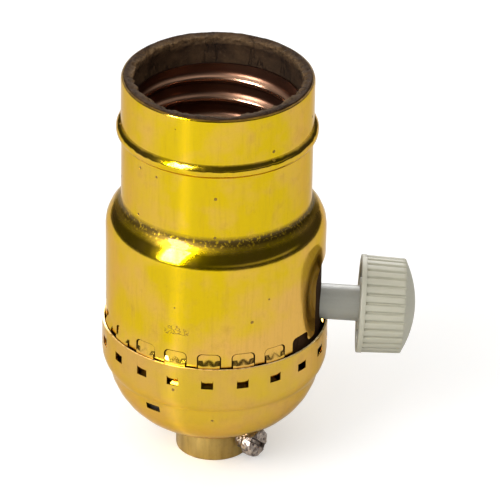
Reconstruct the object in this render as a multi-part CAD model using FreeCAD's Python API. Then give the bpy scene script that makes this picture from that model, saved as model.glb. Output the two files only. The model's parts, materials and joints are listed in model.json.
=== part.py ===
"""Lamp holder: medium screw base, drawn brass shell and cap, side turn knob.

Millimetres, +Z up. The origin is the centre of the hub's lower end, where the threaded
nipple enters, and +X is the side that the switch stem comes out of.
"""
import FreeCAD, Part
import math
import os

Vec = FreeCAD.Vector

# ---- sheet and clearances ----
SHEET = 0.3             # drawn brass sheet
FREE = 0.05             # radial clearance of turning and sliding fits
SEAT = 0.1              # gap left where one piece rests in another
LINER_GAP = 0.25        # between the fibre sleeve and the rolled or drawn sheet beside it
BODY_GAP = 0.15         # between the switch body and the sleeve round it
CAP_GAP = 0.3           # between the shell's foot and the cap's wall
FLAT = 0.05             # a bend is drawn in flats that stay within this of it
PAST = 1.0              # a cutter runs this far past what it cuts
WELD = 0.001            # least length of a straight between two bends

# ---- screw shell; the shell, sleeve, switch body and cap take their radii from it ----
PITCH = 25.4 / 7        # medium base, 7 threads to the inch
LAND = PITCH / 4        # width of the flat on each crest and root
THREAD_MAJOR_R = 13.3   # inside of the roots
THREAD_DEPTH = 0.85
CRESTS = 4
CREST_DROP = 2.3        # highest crest under the screw shell's lip
SCREW_DROP = 4.65       # that lip under the mouth
FLOOR_LEDGE = 5.8       # width of its floor inside the roots

# ---- outer shell, outside sizes ----
CURL_R = 0.4            # the mouth's edge is curled in
COLLAR_OUT = 0.1        # the collar stands out this far from the neck
BEAD_ARC_R = 1.35       # rolled bead under the collar
BEAD_SUNK = 0.6         # how far the bead's arc centre lies inside the collar's face
SHOULDER_IN_R = 1.7     # hollow bend at the top of the shoulder
SHOULDER_OUT_R = 4.5    # round bend at its foot
SHOULDER_DEG = 47       # steepest slope of the shoulder
TAPER = 0.1             # the body is this much wider under the shoulder than at its foot
GROOVE_H = 2.5          # snap groove that the cap's tabs catch in
GROOVE_DEPTH = 0.5
GROOVE_FLANK = 0.6      # height of each sloping flank
MOUTH_RISE = 9.0        # mouth above the bead's middle
BEAD_RISE = 12.45       # bead's middle above the foot of the neck
NECK_RISE = 5.7         # foot of the neck above the switch body

# ---- shell's slot for the stem, and its lanced foot ----
SHELL_TURN = -2.3       # degrees the shell sits turned from the stem
SLOT_W = 13.2
SLOT_RISE = 8.8         # top of the slot above the stem's axis
SLOT_CORNER_R = 3.5
RELIEF_RISE = 2.1       # beside the slot the foot is cut back to here above the groove
RELIEF_CORNER_R = 0.7
TONGUE_COUNT = 20       # places round the foot
TONGUES_LOST = 2        # places on each side of the stem that the relief takes
TONGUE_W = 3.45
TONGUE_H = 3.35         # from a tongue's root to its rounded end
TONGUE_RISE = 0.6       # the root above the groove
TONGUE_SPAN = 16        # degrees of the strip that a tongue is trimmed from
TONGUE_CORNER_R = 0.8
KERF = 0.22             # width of the cut round a tongue
TONGUE_SUNK = 0.2       # the tip is pressed in by this
TONGUE_PROUD = 0.22     # and the bulge stands out by this
TONGUE_BREAK = 2.1      # above the root: where the tip ends and the bulge's slope begins
TONGUE_CREST = 1.3      # above the root: the bulge's crest
TONGUE_TUCK = 0.6       # above the root: from here it runs back to the wall

# ---- cap, outside sizes ----
CAP_WALL_H = 5.3        # straight wall above the bend
CAP_BEND_R = 5.0
CAP_BEND_RISE = 13.2    # foot of the straight wall above the cap's base
STEP_BACK = 0.95        # top of the pressed step, in from the wall
STEP_IN = 0.15
BOWL_R = 12.5
CAP_BASE_LAND = 1.4     # width of the flat round the hub
GROOVE_DROP = 1.4       # shell's groove under the cap's rim
CAP_TURN = -3.0         # degrees the cap sits turned from the stem
WINDOW_COUNT = 20
WINDOW_DROP = 0.15      # windows' middle under the groove's
WINDOW_W = 1.95
WINDOW_H = 1.5
TAB_W = 1.75
TAB_LEN = 1.1
TAB_LEAN = 33           # degrees a tab leans inwards
RELIEF_SLOT_W = 2.6     # single lanced slot under the step
RELIEF_SLOT_H = 1.2
RELIEF_SLOT_DROP = 1.47
RELIEF_SLOT_AT = -125

# ---- hub and its locking screw ----
HUB_BORE_R = 4.6        # minor radius of the 1/8 in pipe thread
HUB_WALL = 1.5
HUB_H = 5.8
HUB_EDGE = 0.3          # bevel at its lower end
HUB_NECK_WALL = 0.85    # staked through the cap
HUB_FLANGE_OUT = 0.5    # flange inside the cap, past the hub's side
HUB_FLANGE_T = 0.9
LOCK_AT = -37           # degrees round from +X
LOCK_R = 1.85
LOCK_HEAD_R = 2.4
LOCK_HEAD_H = 2.3
LOCK_UNDER = 0.2        # between the head and the cap's base
LOCK_SHOWS = 1.2        # shank left between hub and head
HEAD_STRAIGHT = 0.45    # share of a screw head's height below its crown

# ---- fibre sleeve ----
SLEEVE_T = 1.1
SLEEVE_PROUD = 0.45     # its cut edge stands above the brass mouth
SLEEVE_SWELL = 0.35     # and is swollen inwards
SLEEVE_EDGE_H = 1.4     # height of the swollen edge, and of its slope
SLEEVE_SLOT_W = 7.0
SLEEVE_SLOT_RISE = 3.6  # top of its slot above the stem's axis

# ---- switch body ----
SWITCH_OUT = 2.6        # the body is this much wider than the thread's roots
STEM_RISE = 3.6         # the stem's axis crosses the lamp's axis this far above the cap's rim
STEM_DROOP = 3.0        # degrees the stem hangs below level
COVER_H = 12.7          # upper half, above the stem's axis
COVER_CHAMFER = 1.2
INSULATOR_T = 0.4
INSULATOR_IN = 0.2      # the insulator is this much smaller than the thread's roots
BOSS_GAP = 1.0          # round the boss that stands up through the floor
BOSS_H = 1.2            # above the floor of the screw shell
CHAMBER_R = 6.2
POCKET_HALF_W = 5.2
POCKET_DEPTH = 3.0
POCKET_BELOW = 4.1      # under the terminal screw's axis
POCKET_ABOVE = 5.5

# ---- stem, clip, rotor and its bridge (x along the stem's axis) ----
STEM_R = 2.9
STEM_IN_KNOB = 5.7
STEM_FLAT = 2.1         # half height of the D at its outer end
STEM_ROUND = 1.1        # length inside the knob before the D begins
TANG = 3.6
TANG_L = 4.0
BEARING_L = 4.5         # the stem's bore from the chamber to the body's side
CLIP_R = 4.4
CLIP_T = 0.4
CLIP_CLEAR = 0.6        # between the cam and the clip
CLIP_PLAY = 0.4         # between the clip and the end of the chamber
CLIP_SEAT_R = 2.3
CLIP_MOUTH = 3.4
ROTOR_PLAY = 0.2        # between the drum and the back of the chamber
DRUM_R = 3.6
DRUM_L = 4.8
CAM_L = 3.4
CAM_FLAT = 4.0          # axis to each flat
CAM_LOBE_R = 4.65
JOURNAL_R = 1.6
JOURNAL_L = 2.4
BRIDGE_AT = 0.8         # from the drum's back
BRIDGE_W = 3.0
BRIDGE_T = 0.6
BRIDGE_REACH = 5.3
LEAF_AT = 0.4           # from the cam's back
LEAF_W = 2.6
LEAF_T = 0.25
LEAF_HALF_H = 5.6
LEAF_OFF = 0.2          # between the leaf and the cam's lobes

# ---- contacts and terminals ----
PLATE_T = 0.4
CONTACT_GAP = 0.2       # between the bridge's sweep and each fixed contact
CONTACT_BACK = 0.1      # fixed contacts lie this far back of the bridge's middle
CONTACT_W = 3.4
BUTTON_R = 1.4
BUTTON_H = 0.6
BUTTON_LAND = 0.4       # plate left past the button
LEAD_T = 0.6
TERMINAL_DROP = 8.9     # terminal screws' axis under the stem's
TERMINAL_SCREW_R = 1.9
TERMINAL_HEAD_R = 3.3
TERMINAL_HEAD_H = 1.9
TERMINAL_SCREW_L = 4.6
SCREW_SLOT_W = 0.8
SCREW_SLOT_DEPTH = 0.8
TERMINAL_HALF_W = 4.4
TERMINAL_HALF_H = 3.6
STRAP_W = 6.0
STRAP_TAB = 4.2         # reach of the strap's tab under the screw shell's floor
SPRING_W = 4.8          # centre contact
SPRING_FOOT_X = -4.6
SPRING_BEND_X = 1.0
SPRING_TIP_L = 2.0      # runs down again past the bend
SPRING_H = 4.6          # above its foot
RIVET_R = 1.1
RIVET_HEAD_R = 1.9
RIVET_HEAD_H = 0.7
RIVET_IN = 2.67         # body rivets, in from the thread's roots
RIVET_AT = 131.186      # degrees round from +X, and opposite
CENTRE_RIVET_R = 0.9
CENTRE_HEAD_R = 1.7

# ---- knob (x along the stem's axis) ----
KNOB_OUT = 5.0          # back of the knob from the cap's side
KNOB_L = 7.3
KNOB_LIP_R = 8.0
KNOB_LIP_W = 0.85
KNOB_LIP_EDGE = 0.2     # bevel at the back of the lip
KNOB_LIP_STEP = 0.1     # lip above the ribbed side
KNOB_TAPER = 0.2        # the side narrows by this towards the dome
KNOB_RIM_IN = 0.35      # and the dome springs from this far inside it
KNOB_RIM_DROP = 0.3     # length of the bevel between side and dome
KNOB_DOME_H = 1.85
KNOB_WALL = 1.3
KNOB_HOLLOW = 4.6
KNOB_BOSS_R = 4.3
KNOB_RIBS = 33
RIB_GROOVE_W = 0.52
RIB_GROOVE_DEPTH = 0.4

# ---- radii that follow, from the lamp's thread outwards ----
THREAD_MINOR_R = THREAD_MAJOR_R - THREAD_DEPTH
FLOOR_HOLE_R = THREAD_MAJOR_R - FLOOR_LEDGE
BOSS_R = FLOOR_HOLE_R - BOSS_GAP
RIVET_CIRCLE_R = THREAD_MAJOR_R - RIVET_IN
INSULATOR_R = THREAD_MAJOR_R - INSULATOR_IN
SLEEVE_NECK_R = THREAD_MAJOR_R + SHEET + LINER_GAP + SLEEVE_T
NECK_R = SLEEVE_NECK_R + SEAT + SHEET
COLLAR_R = NECK_R + COLLAR_OUT
SWITCH_R = THREAD_MAJOR_R + SWITCH_OUT
POCKET_Y = SWITCH_R - POCKET_DEPTH
SLEEVE_BODY_R = SWITCH_R + BODY_GAP + SLEEVE_T
FOOT_R = SLEEVE_BODY_R + LINER_GAP + SHEET
BODY_R = FOOT_R + TAPER
CAP_R = FOOT_R + CAP_GAP + SHEET
STEP_R = CAP_R - STEP_BACK
HUB_R = HUB_BORE_R + HUB_WALL
HUB_NECK_R = HUB_BORE_R + HUB_NECK_WALL
HUB_FLANGE_R = HUB_R + HUB_FLANGE_OUT
CAP_BASE_R = HUB_R + CAP_BASE_LAND

# ---- heights that follow, from the hub's lower end upwards ----
LOCK_Z = HUB_H - LOCK_UNDER - LOCK_HEAD_R
CAP_BEND_Z = HUB_H + CAP_BEND_RISE
CAP_RIM_Z = CAP_BEND_Z + CAP_WALL_H
BEND_C = (CAP_R - CAP_BEND_R, CAP_BEND_Z)
BEND_END_DEG = math.degrees(math.acos((STEP_R - BEND_C[0]) / CAP_BEND_R))
STEP_Z = CAP_BEND_Z - CAP_BEND_R * math.sin(math.radians(BEND_END_DEG))
RELIEF_SLOT_Z = STEP_Z - RELIEF_SLOT_DROP
GROOVE_TOP_Z = CAP_RIM_Z - GROOVE_DROP
WINDOW_Z = GROOVE_TOP_Z - GROOVE_H / 2 - WINDOW_DROP
TONGUE_ROOT_Z = GROOVE_TOP_Z + TONGUE_RISE
TONGUE_TOP_Z = TONGUE_ROOT_Z + TONGUE_H
RELIEF_Z = GROOVE_TOP_Z + RELIEF_RISE
STEM_Z = CAP_RIM_Z + STEM_RISE              # also the joint of the switch body's halves
SLOT_TOP_Z = STEM_Z + SLOT_RISE
SLEEVE_SLOT_TOP_Z = STEM_Z + SLEEVE_SLOT_RISE
TERMINAL_Z = STEM_Z - TERMINAL_DROP
POCKET_LOW_Z = TERMINAL_Z - POCKET_BELOW
POCKET_TOP_Z = TERMINAL_Z + POCKET_ABOVE
TERMINAL_LOW_Z = TERMINAL_Z - TERMINAL_HALF_H
TERMINAL_TOP_Z = TERMINAL_Z + TERMINAL_HALF_H
COVER_TOP_Z = STEM_Z + COVER_H
FLOOR_Z = COVER_TOP_Z + INSULATOR_T
NECK_Z = COVER_TOP_Z + NECK_RISE            # where the neck turns into the shoulder
BEAD_Z = NECK_Z + BEAD_RISE
MOUTH_Z = BEAD_Z + MOUTH_RISE
SLEEVE_TOP_Z = MOUTH_Z + SLEEVE_PROUD
SCREW_TOP_Z = MOUTH_Z - SCREW_DROP
CREST_Z = SCREW_TOP_Z - CREST_DROP
TONGUE_PITCH_DEG = 360 / TONGUE_COUNT

# ---- places that follow along the stem's axis ----
CHAMBER_END_X = SWITCH_R - BEARING_L
CLIP_X = CHAMBER_END_X - CLIP_PLAY - CLIP_T
CAM_END_X = CLIP_X - CLIP_CLEAR
CAM_X = CAM_END_X - CAM_L
ROTOR_X = CAM_X - DRUM_L
CHAMBER_X = ROTOR_X - ROTOR_PLAY
BRIDGE_X = ROTOR_X + BRIDGE_AT
CONTACT_X = BRIDGE_X + BRIDGE_W / 2 - CONTACT_BACK
LEAF_X = CAM_X + LEAF_AT
TANG_X = CAM_END_X - TANG_L
STEM_START_X = CAM_END_X + FREE
KNOB_X = CAP_R + KNOB_OUT
KNOB_END_X = KNOB_X + KNOB_L
KNOB_BACK_R = KNOB_LIP_R - KNOB_LIP_STEP    # ribbed side, at the lip
KNOB_FRONT_R = KNOB_BACK_R - KNOB_TAPER
KNOB_RIM_R = KNOB_FRONT_R - KNOB_RIM_IN
STEM_FLAT_X = KNOB_X + STEM_ROUND
STEM_END_X = KNOB_X + STEM_IN_KNOB


# ---- drawing helpers; a section is a list of (radius, height) points ----
def around(centre, radius, degrees):
    a = math.radians(degrees)
    return (centre[0] + radius * math.cos(a), centre[1] + radius * math.sin(a))


def bend(centre, radius, start, end):
    """Points along an arc of a section, by angles in degrees from +r, in either sense."""
    step = math.degrees(2 * math.acos(1 - FLAT / radius)) if radius > FLAT else 90
    flats = max(2, math.ceil(abs(end - start) / step))
    return [around(centre, radius, start + (end - start) * k / flats) for k in range(flats + 1)]


def crown(rim_r, rim_z, top_z):
    """Shallow dome of a section, from its rim to the axis."""
    rise = top_z - rim_z
    radius = (rim_r ** 2 + rise ** 2) / (2 * rise)
    spring = math.degrees(math.asin((radius - rise) / radius))
    return bend((0, top_z - radius), radius, spring, 90)


def turned(section, degrees=360):
    """Solid of revolution about Z, centred on +X when it isn't a full turn."""
    points = [Vec(r, 0, z) for r, z in section]
    face = Part.Face(Part.makePolygon(points + [points[0]]))
    solid = face.revolve(Vec(0, 0, 0), Vec(0, 0, 1), degrees)
    if degrees < 360:
        solid.rotate(Vec(0, 0, 0), Vec(0, 0, 1), -degrees / 2)
    return solid


def wall(outer, inner):
    """Sheet between two section lines that run the same way."""
    return turned(outer + list(reversed(inner)))


def disc(radius, low, height, x=0, y=0):
    return Part.makeCylinder(radius, height, Vec(x, y, low))


def rod(radius, start, length, direction):
    return Part.makeCylinder(radius, length, start, direction)


def block(x0, x1, y0, y1, z0, z1):
    return Part.makeBox(x1 - x0, y1 - y0, z1 - z0, Vec(x0, y0, z0))


def spun(shape, degrees):
    copy = shape.copy()
    copy.rotate(Vec(0, 0, 0), Vec(0, 0, 1), degrees)
    return copy


def arch(width, low, top, corner_r, x0=BODY_R / 2, x1=CAP_R + PAST):
    """Upright prism along X with a flat foot and rounded top corners."""
    half, r = width / 2, min(corner_r, width / 2 - WELD)
    bend = r * math.sqrt(0.5)
    left = Part.Arc(Vec(x0, -half, top - r), Vec(x0, -half + r - bend, top - r + bend), Vec(x0, -half + r, top))
    right = Part.Arc(Vec(x0, half - r, top), Vec(x0, half - r + bend, top - r + bend), Vec(x0, half, top - r))
    edges = [
        Part.makeLine(Vec(x0, -half, low), Vec(x0, -half, top - r)),
        left.toShape(),
        Part.makeLine(Vec(x0, -half + r, top), Vec(x0, half - r, top)),
        right.toShape(),
        Part.makeLine(Vec(x0, half, top - r), Vec(x0, half, low)),
        Part.makeLine(Vec(x0, half, low), Vec(x0, -half, low)),
    ]
    return Part.Face(Part.Wire(edges)).extrude(Vec(x1 - x0, 0, 0))


def on_stem(shape):
    """Move a shape drawn along +X from the origin on to the stem's drooping axis."""
    copy = shape.copy()
    copy.rotate(Vec(0, 0, 0), Vec(0, 1, 0), STEM_DROOP)
    copy.translate(Vec(0, 0, STEM_Z))
    return copy


def along_stem(radius, start, end):
    return on_stem(rod(radius, Vec(start, 0, 0), end - start, Vec(1, 0, 0)))


def stem_height(x):
    """Height of the stem's axis at x."""
    return STEM_Z - x * math.tan(math.radians(STEM_DROOP))


# ---- outer shell ----
def shoulder(neck_r, body_r, in_r, out_r):
    """Hollow bend, short slope and round bend that join the neck to the body."""
    # with no room for a straight between them, the two bends meet at a gentler slope
    meeting = math.degrees(math.acos(1 - (body_r - neck_r) / (in_r + out_r)))
    steepest = min(SHOULDER_DEG, meeting)
    hollow = bend((neck_r + in_r, NECK_Z), in_r, 180, 180 + steepest)
    centre_r, slope = body_r - out_r, math.radians(steepest)
    drop = (centre_r + out_r * math.cos(slope) - hollow[-1][0]) / math.tan(slope)
    centre_z = hollow[-1][1] - drop - out_r * math.sin(slope)
    return hollow + bend((centre_r, centre_z), out_r, steepest, 0)


def shell_line(depth):
    """Section of the shell from its mouth to its foot, at a depth under its outer face."""
    curl = bend((COLLAR_R - CURL_R, MOUTH_Z - CURL_R), CURL_R - depth, 90, 0)
    bead_c = (COLLAR_R - BEAD_SUNK, BEAD_Z)
    bead_r = BEAD_ARC_R - depth
    up = math.degrees(math.acos((COLLAR_R - depth - bead_c[0]) / bead_r))
    down = math.degrees(math.acos((NECK_R - depth - bead_c[0]) / bead_r))
    neck = shoulder(NECK_R - depth, BODY_R - depth, SHOULDER_IN_R + depth, SHOULDER_OUT_R - depth)
    foot, valley = FOOT_R - depth, FOOT_R - GROOVE_DEPTH - depth
    groove = [
        (foot, GROOVE_TOP_Z),
        (valley, GROOVE_TOP_Z - GROOVE_FLANK),
        (valley, GROOVE_TOP_Z - GROOVE_H + GROOVE_FLANK),
        (foot, GROOVE_TOP_Z - GROOVE_H),
        (foot, shell_foot_z()),
    ]
    return curl + bend(bead_c, bead_r, up, -down) + neck + groove


def shell_foot_z():
    """The shell's foot stands in the bend of the cap."""
    inside = CAP_BEND_R - SHEET
    reach = FOOT_R + SEAT - BEND_C[0]
    return CAP_BEND_Z - math.sqrt(inside ** 2 - reach ** 2)


def tongue_line(depth):
    """Section of a lanced tongue, from its pressed-in tip to its root."""
    tip, crest, root = FOOT_R - TONGUE_SUNK - depth, FOOT_R + TONGUE_PROUD - depth, wall_r(TONGUE_ROOT_Z) - depth
    return [
        (tip, TONGUE_TOP_Z + PAST),
        (tip, TONGUE_ROOT_Z + TONGUE_BREAK),
        (crest, TONGUE_ROOT_Z + TONGUE_CREST),
        (crest, TONGUE_ROOT_Z + TONGUE_TUCK),
        (root, TONGUE_ROOT_Z),
    ]


def wall_r(z):
    """Outside radius of the tapered body at a height."""
    top = shoulder(NECK_R, BODY_R, SHOULDER_IN_R, SHOULDER_OUT_R)[-1][1]
    return FOOT_R + (BODY_R - FOOT_R) * (z - GROOVE_TOP_Z) / (top - GROOVE_TOP_Z)


def tongue():
    """One tongue on +X: the bulged strip, trimmed to its rounded outline."""
    strip = turned(tongue_line(0) + list(reversed(tongue_line(SHEET))), TONGUE_SPAN)
    outline = arch(TONGUE_W, TONGUE_ROOT_Z, TONGUE_TOP_Z - KERF, TONGUE_CORNER_R - KERF / 2)
    return strip.common(outline)


def relief_corner(edge_y, sense):
    """What rounds the lower corner of the sheet that runs from edge_y towards sense along Y."""
    y, z, r = edge_y + sense * RELIEF_CORNER_R, RELIEF_Z + RELIEF_CORNER_R, RELIEF_CORNER_R
    corner = block(FOOT_R / 2, FOOT_R + PAST, min(edge_y, y), max(edge_y, y), RELIEF_Z, z)
    return corner.cut(rod(r, Vec(0, y, z), FOOT_R + 2 * PAST, Vec(1, 0, 0)))


def slot_relief():
    """What is cut from the foot under the slot, with the corners left on each side rounded."""
    half = TONGUES_LOST * TONGUE_PITCH_DEG + math.degrees(TONGUE_W / 2 / FOOT_R)
    low = shell_foot_z() - PAST
    inner, outer = FOOT_R - GROOVE_DEPTH - SHEET - PAST, FOOT_R + PAST
    shapes = [turned([(inner, low), (outer, low), (outer, RELIEF_Z), (inner, RELIEF_Z)], 2 * half)]
    for side in (-1, 1):
        shapes.append(relief_corner(side * SLOT_W / 2, side))
        beside = relief_corner(-side * (TONGUE_W / 2 + KERF), -side)
        shapes.append(spun(beside, side * TONGUES_LOST * TONGUE_PITCH_DEG))
    return shapes


def outer_shell():
    shell = wall(shell_line(0), shell_line(SHEET))
    cuts = slot_relief()
    cuts.append(arch(SLOT_W, shell_foot_z() - PAST, SLOT_TOP_Z, SLOT_CORNER_R))
    opening = arch(TONGUE_W + 2 * KERF, TONGUE_ROOT_Z, TONGUE_TOP_Z, TONGUE_CORNER_R)
    lanced = tongue()
    tongues = []
    for k in range(TONGUES_LOST, TONGUE_COUNT - TONGUES_LOST + 1):
        cuts.append(spun(opening, k * TONGUE_PITCH_DEG))
        if TONGUES_LOST < k < TONGUE_COUNT - TONGUES_LOST:
            tongues.append(spun(lanced, k * TONGUE_PITCH_DEG))
    return spun(shell.cut(cuts).fuse(tongues), SHELL_TURN)


# ---- cap ----
def bowl_centre():
    """Centre of the bowl's arc, from its top under the step and its lower end at the base."""
    top, low = (STEP_R - STEP_IN, STEP_Z - STEP_IN), (CAP_BASE_R, HUB_H)
    middle = ((top[0] + low[0]) / 2, (top[1] + low[1]) / 2)
    dr, dz = low[0] - top[0], low[1] - top[1]
    chord = math.hypot(dr, dz)
    rise = math.sqrt(BOWL_R ** 2 - (chord / 2) ** 2)
    return (middle[0] + dz / chord * rise, middle[1] - dr / chord * rise)


def bowl_angle(point):
    centre = bowl_centre()
    return math.degrees(math.atan2(point[1] - centre[1], point[0] - centre[0]))


def bowl_z(r):
    """Height of the bowl's inner face at a radius."""
    centre = bowl_centre()
    return centre[1] - math.sqrt((BOWL_R - SHEET) ** 2 - (r - centre[0]) ** 2)


def cap_line(depth):
    elbow = bend(BEND_C, CAP_BEND_R - depth, 0, -BEND_END_DEG)
    top = bowl_angle((STEP_R - STEP_IN, STEP_Z - STEP_IN))
    low = bowl_angle((CAP_BASE_R, HUB_H))
    centre, radius = bowl_centre(), BOWL_R - depth
    level = math.degrees(math.asin((HUB_H + depth - centre[1]) / radius)) if depth else low
    bowl = bend(centre, radius, top, level)
    return [(CAP_R - depth, CAP_RIM_Z)] + elbow + bowl + [(HUB_NECK_R + FREE, HUB_H + depth)]


def window_tab():
    """Lanced tab on +X, hinged on the window's upper edge and leaning inwards."""
    lean = math.radians(TAB_LEAN)
    top = WINDOW_Z + WINDOW_H / 2
    dr, dz = -math.sin(lean), -math.cos(lean)
    outer, inner = (CAP_R, top), (CAP_R - SHEET, top)
    tip = (outer[0] + TAB_LEN * dr, outer[1] + TAB_LEN * dz)
    heel = (tip[0] + SHEET * dz, tip[1] - SHEET * dr)
    return turned([outer, tip, heel, inner], math.degrees(TAB_W / CAP_R))


def cap():
    shell = wall(cap_line(0), cap_line(SHEET))
    low, top = WINDOW_Z - WINDOW_H / 2, WINDOW_Z + WINDOW_H / 2
    inner, outer = CAP_R - PAST, CAP_R + PAST
    section = [(inner, low), (outer, low), (outer, top), (inner, top)]
    window = turned(section, math.degrees(WINDOW_W / CAP_R))
    turns = [k * 360 / WINDOW_COUNT + CAP_TURN for k in range(WINDOW_COUNT)]
    cuts = [spun(window, turn) for turn in turns]
    slot = block(CAP_R - CAP_BEND_R, CAP_R, -RELIEF_SLOT_W / 2, RELIEF_SLOT_W / 2,
                 RELIEF_SLOT_Z - RELIEF_SLOT_H / 2, RELIEF_SLOT_Z + RELIEF_SLOT_H / 2)
    cuts.append(spun(slot, RELIEF_SLOT_AT))
    cuts.append(along_stem(STEM_R + SEAT + FREE, CAP_R - CAP_BEND_R, CAP_R + PAST))
    tab = window_tab()
    return shell.cut(cuts).fuse([spun(tab, turn) for turn in turns])


# ---- hub and locking screw ----
def cap_hub():
    section = [
        (HUB_BORE_R, 0), (HUB_R - HUB_EDGE, 0), (HUB_R, HUB_EDGE), (HUB_R, HUB_H), (HUB_NECK_R, HUB_H),
        (HUB_NECK_R, HUB_H + SHEET), (HUB_FLANGE_R, HUB_H + SHEET),
        (HUB_FLANGE_R, HUB_H + SHEET + HUB_FLANGE_T), (HUB_BORE_R, HUB_H + SHEET + HUB_FLANGE_T),
    ]
    hole = rod(LOCK_R + FREE, Vec(0, 0, LOCK_Z), HUB_R + PAST, Vec(1, 0, 0))
    return turned(section).cut(spun(hole, LOCK_AT))


def slotted_screw(shank_r, shank_l, head_r, head_h):
    """Screw along +X with the underside of its round head at the origin."""
    shank = rod(shank_r, Vec(-shank_l, 0, 0), shank_l, Vec(1, 0, 0))
    head = turned([(0, 0), (head_r, 0)] + crown(head_r, head_h * HEAD_STRAIGHT, head_h))
    head.rotate(Vec(0, 0, 0), Vec(0, 1, 0), 90)
    slot = block(head_h - SCREW_SLOT_DEPTH, head_h + PAST, -head_r - PAST, head_r + PAST,
                 -SCREW_SLOT_W / 2, SCREW_SLOT_W / 2)
    return shank.fuse(head).cut(slot).removeSplitter()


def set_screw():
    under_head = HUB_R + LOCK_SHOWS
    screw = slotted_screw(LOCK_R, under_head - HUB_BORE_R - SEAT, LOCK_HEAD_R, LOCK_HEAD_H)
    screw.translate(Vec(under_head, 0, LOCK_Z))
    return spun(screw, LOCK_AT)


# ---- fibre sleeve ----
def sleeve_line(depth):
    """Section of the sleeve under its cut edge, at a depth under its outer face."""
    neck = shoulder(
        SLEEVE_NECK_R - depth, SLEEVE_BODY_R - depth,
        SHOULDER_IN_R + NECK_R - SLEEVE_NECK_R + depth,
        SHOULDER_OUT_R - BODY_R + SLEEVE_BODY_R - depth)
    return neck + [(SLEEVE_BODY_R - depth, GROOVE_TOP_Z)]


def insulating_sleeve():
    bore_r = SLEEVE_NECK_R - SLEEVE_T
    swell_z = SLEEVE_TOP_Z - SLEEVE_EDGE_H
    edge = [(bore_r - SLEEVE_SWELL, SLEEVE_TOP_Z), (bore_r - SLEEVE_SWELL, swell_z), (bore_r, swell_z - SLEEVE_EDGE_H)]
    sleeve = wall([(SLEEVE_NECK_R, SLEEVE_TOP_Z)] + sleeve_line(0), edge + sleeve_line(SLEEVE_T))
    slot = arch(SLEEVE_SLOT_W, GROOVE_TOP_Z - PAST, SLEEVE_SLOT_TOP_Z, SLEEVE_SLOT_W / 2)
    return sleeve.cut(slot)


# ---- screw shell ----
def screw_line(depth):
    """Section of the rolled wall and its floor, from the lip down, at a depth under the inner face."""
    root, crest = THREAD_MAJOR_R + depth, THREAD_MINOR_R + depth
    points = [(root, SCREW_TOP_Z)]
    for k in range(CRESTS):
        z = CREST_Z - k * PITCH
        points += [(root, z + (PITCH - LAND) / 2), (crest, z + LAND / 2), (crest, z - LAND / 2),
                   (root, z - (PITCH - LAND) / 2)]
    floor = FLOOR_Z + SHEET - depth
    return points + [(root, floor), (FLOOR_HOLE_R, floor)]


def screw_shell():
    holes = [disc(RIVET_R + FREE, FLOOR_Z - PAST, SHEET + 2 * PAST, x, y) for x, y in rivet_places()]
    return wall(screw_line(SHEET), screw_line(0)).cut(holes)


# ---- switch body ----
def rivet_places():
    x, y = around((0, 0), RIVET_CIRCLE_R, RIVET_AT)
    return [(x, y), (-x, -y)]


def terminal_pockets():
    """Flat pockets for the two terminal screws, and the groove for the neutral strap."""
    arm_side = CONTACT_X + CONTACT_W / 2 + FREE
    far = SWITCH_R + PAST
    hot = block(-POCKET_HALF_W, arm_side, -far, -POCKET_Y, POCKET_LOW_Z, POCKET_TOP_Z)
    neutral = block(-POCKET_HALF_W, POCKET_HALF_W, POCKET_Y, far, POCKET_LOW_Z, POCKET_TOP_Z)
    half = STRAP_W / 2 + SEAT
    groove = block(-half, half, POCKET_Y, far, POCKET_LOW_Z, FLOOR_Z + PAST)
    return [hot, neutral, groove]


def mechanism_room():
    """Everything that both halves of the body leave open round the mechanism."""
    spaces = [
        along_stem(CHAMBER_R, CHAMBER_X, CHAMBER_END_X),
        along_stem(STEM_R + FREE, CHAMBER_END_X - PAST, SWITCH_R + PAST),
        along_stem(JOURNAL_R + FREE, ROTOR_X - JOURNAL_L - SEAT, CHAMBER_X + PAST),
        leaf_box(FREE),
        block(CONTACT_X - CONTACT_W / 2 - FREE, CONTACT_X + CONTACT_W / 2 + FREE,
              -CONTACT_W / 2 - FREE, CONTACT_W / 2 + FREE, STEM_Z, lead_low_z() + LEAD_T),
    ]
    spaces += [disc(RIVET_R + FREE, 0, MOUTH_Z, x, y) for x, y in rivet_places()]
    return spaces


def leaf_box(clear):
    y = CAM_LOBE_R + LEAF_OFF
    z = stem_height(LEAF_X + LEAF_W / 2)
    return block(LEAF_X - clear, LEAF_X + LEAF_W + clear, y - clear, y + LEAF_T + clear,
                 z - LEAF_HALF_H - clear, z + LEAF_HALF_H + clear)


def base_low_z():
    """The base's lower edge rests in the cap's bowl."""
    return bowl_z(SWITCH_R + SEAT)


def button_top_z():
    return stem_height(CONTACT_X) - BRIDGE_REACH - CONTACT_GAP


def lead_low_z():
    return stem_height(CONTACT_X) + BRIDGE_REACH + CONTACT_GAP


def switch_base():
    low = base_low_z()
    body = disc(SWITCH_R, low, STEM_Z - low)
    plate_low = button_top_z() - BUTTON_H - PLATE_T
    half = CONTACT_W / 2 + FREE
    channel = block(CONTACT_X - half, CONTACT_X + half, -SWITCH_R, BUTTON_R + BUTTON_LAND + FREE,
                    plate_low - FREE, plate_low + PLATE_T + FREE)
    button_well = disc(BUTTON_R + SEAT, plate_low, CHAMBER_R, CONTACT_X, 0)
    cuts = terminal_pockets() + mechanism_room() + [channel, button_well]
    for side in (-1, 1):
        hole = rod(TERMINAL_SCREW_R + FREE, Vec(0, side * (POCKET_Y - TERMINAL_SCREW_L), TERMINAL_Z),
                   TERMINAL_SCREW_L + PAST, Vec(0, side, 0))
        cuts.append(hole)
    return body.cut(cuts)


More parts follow.
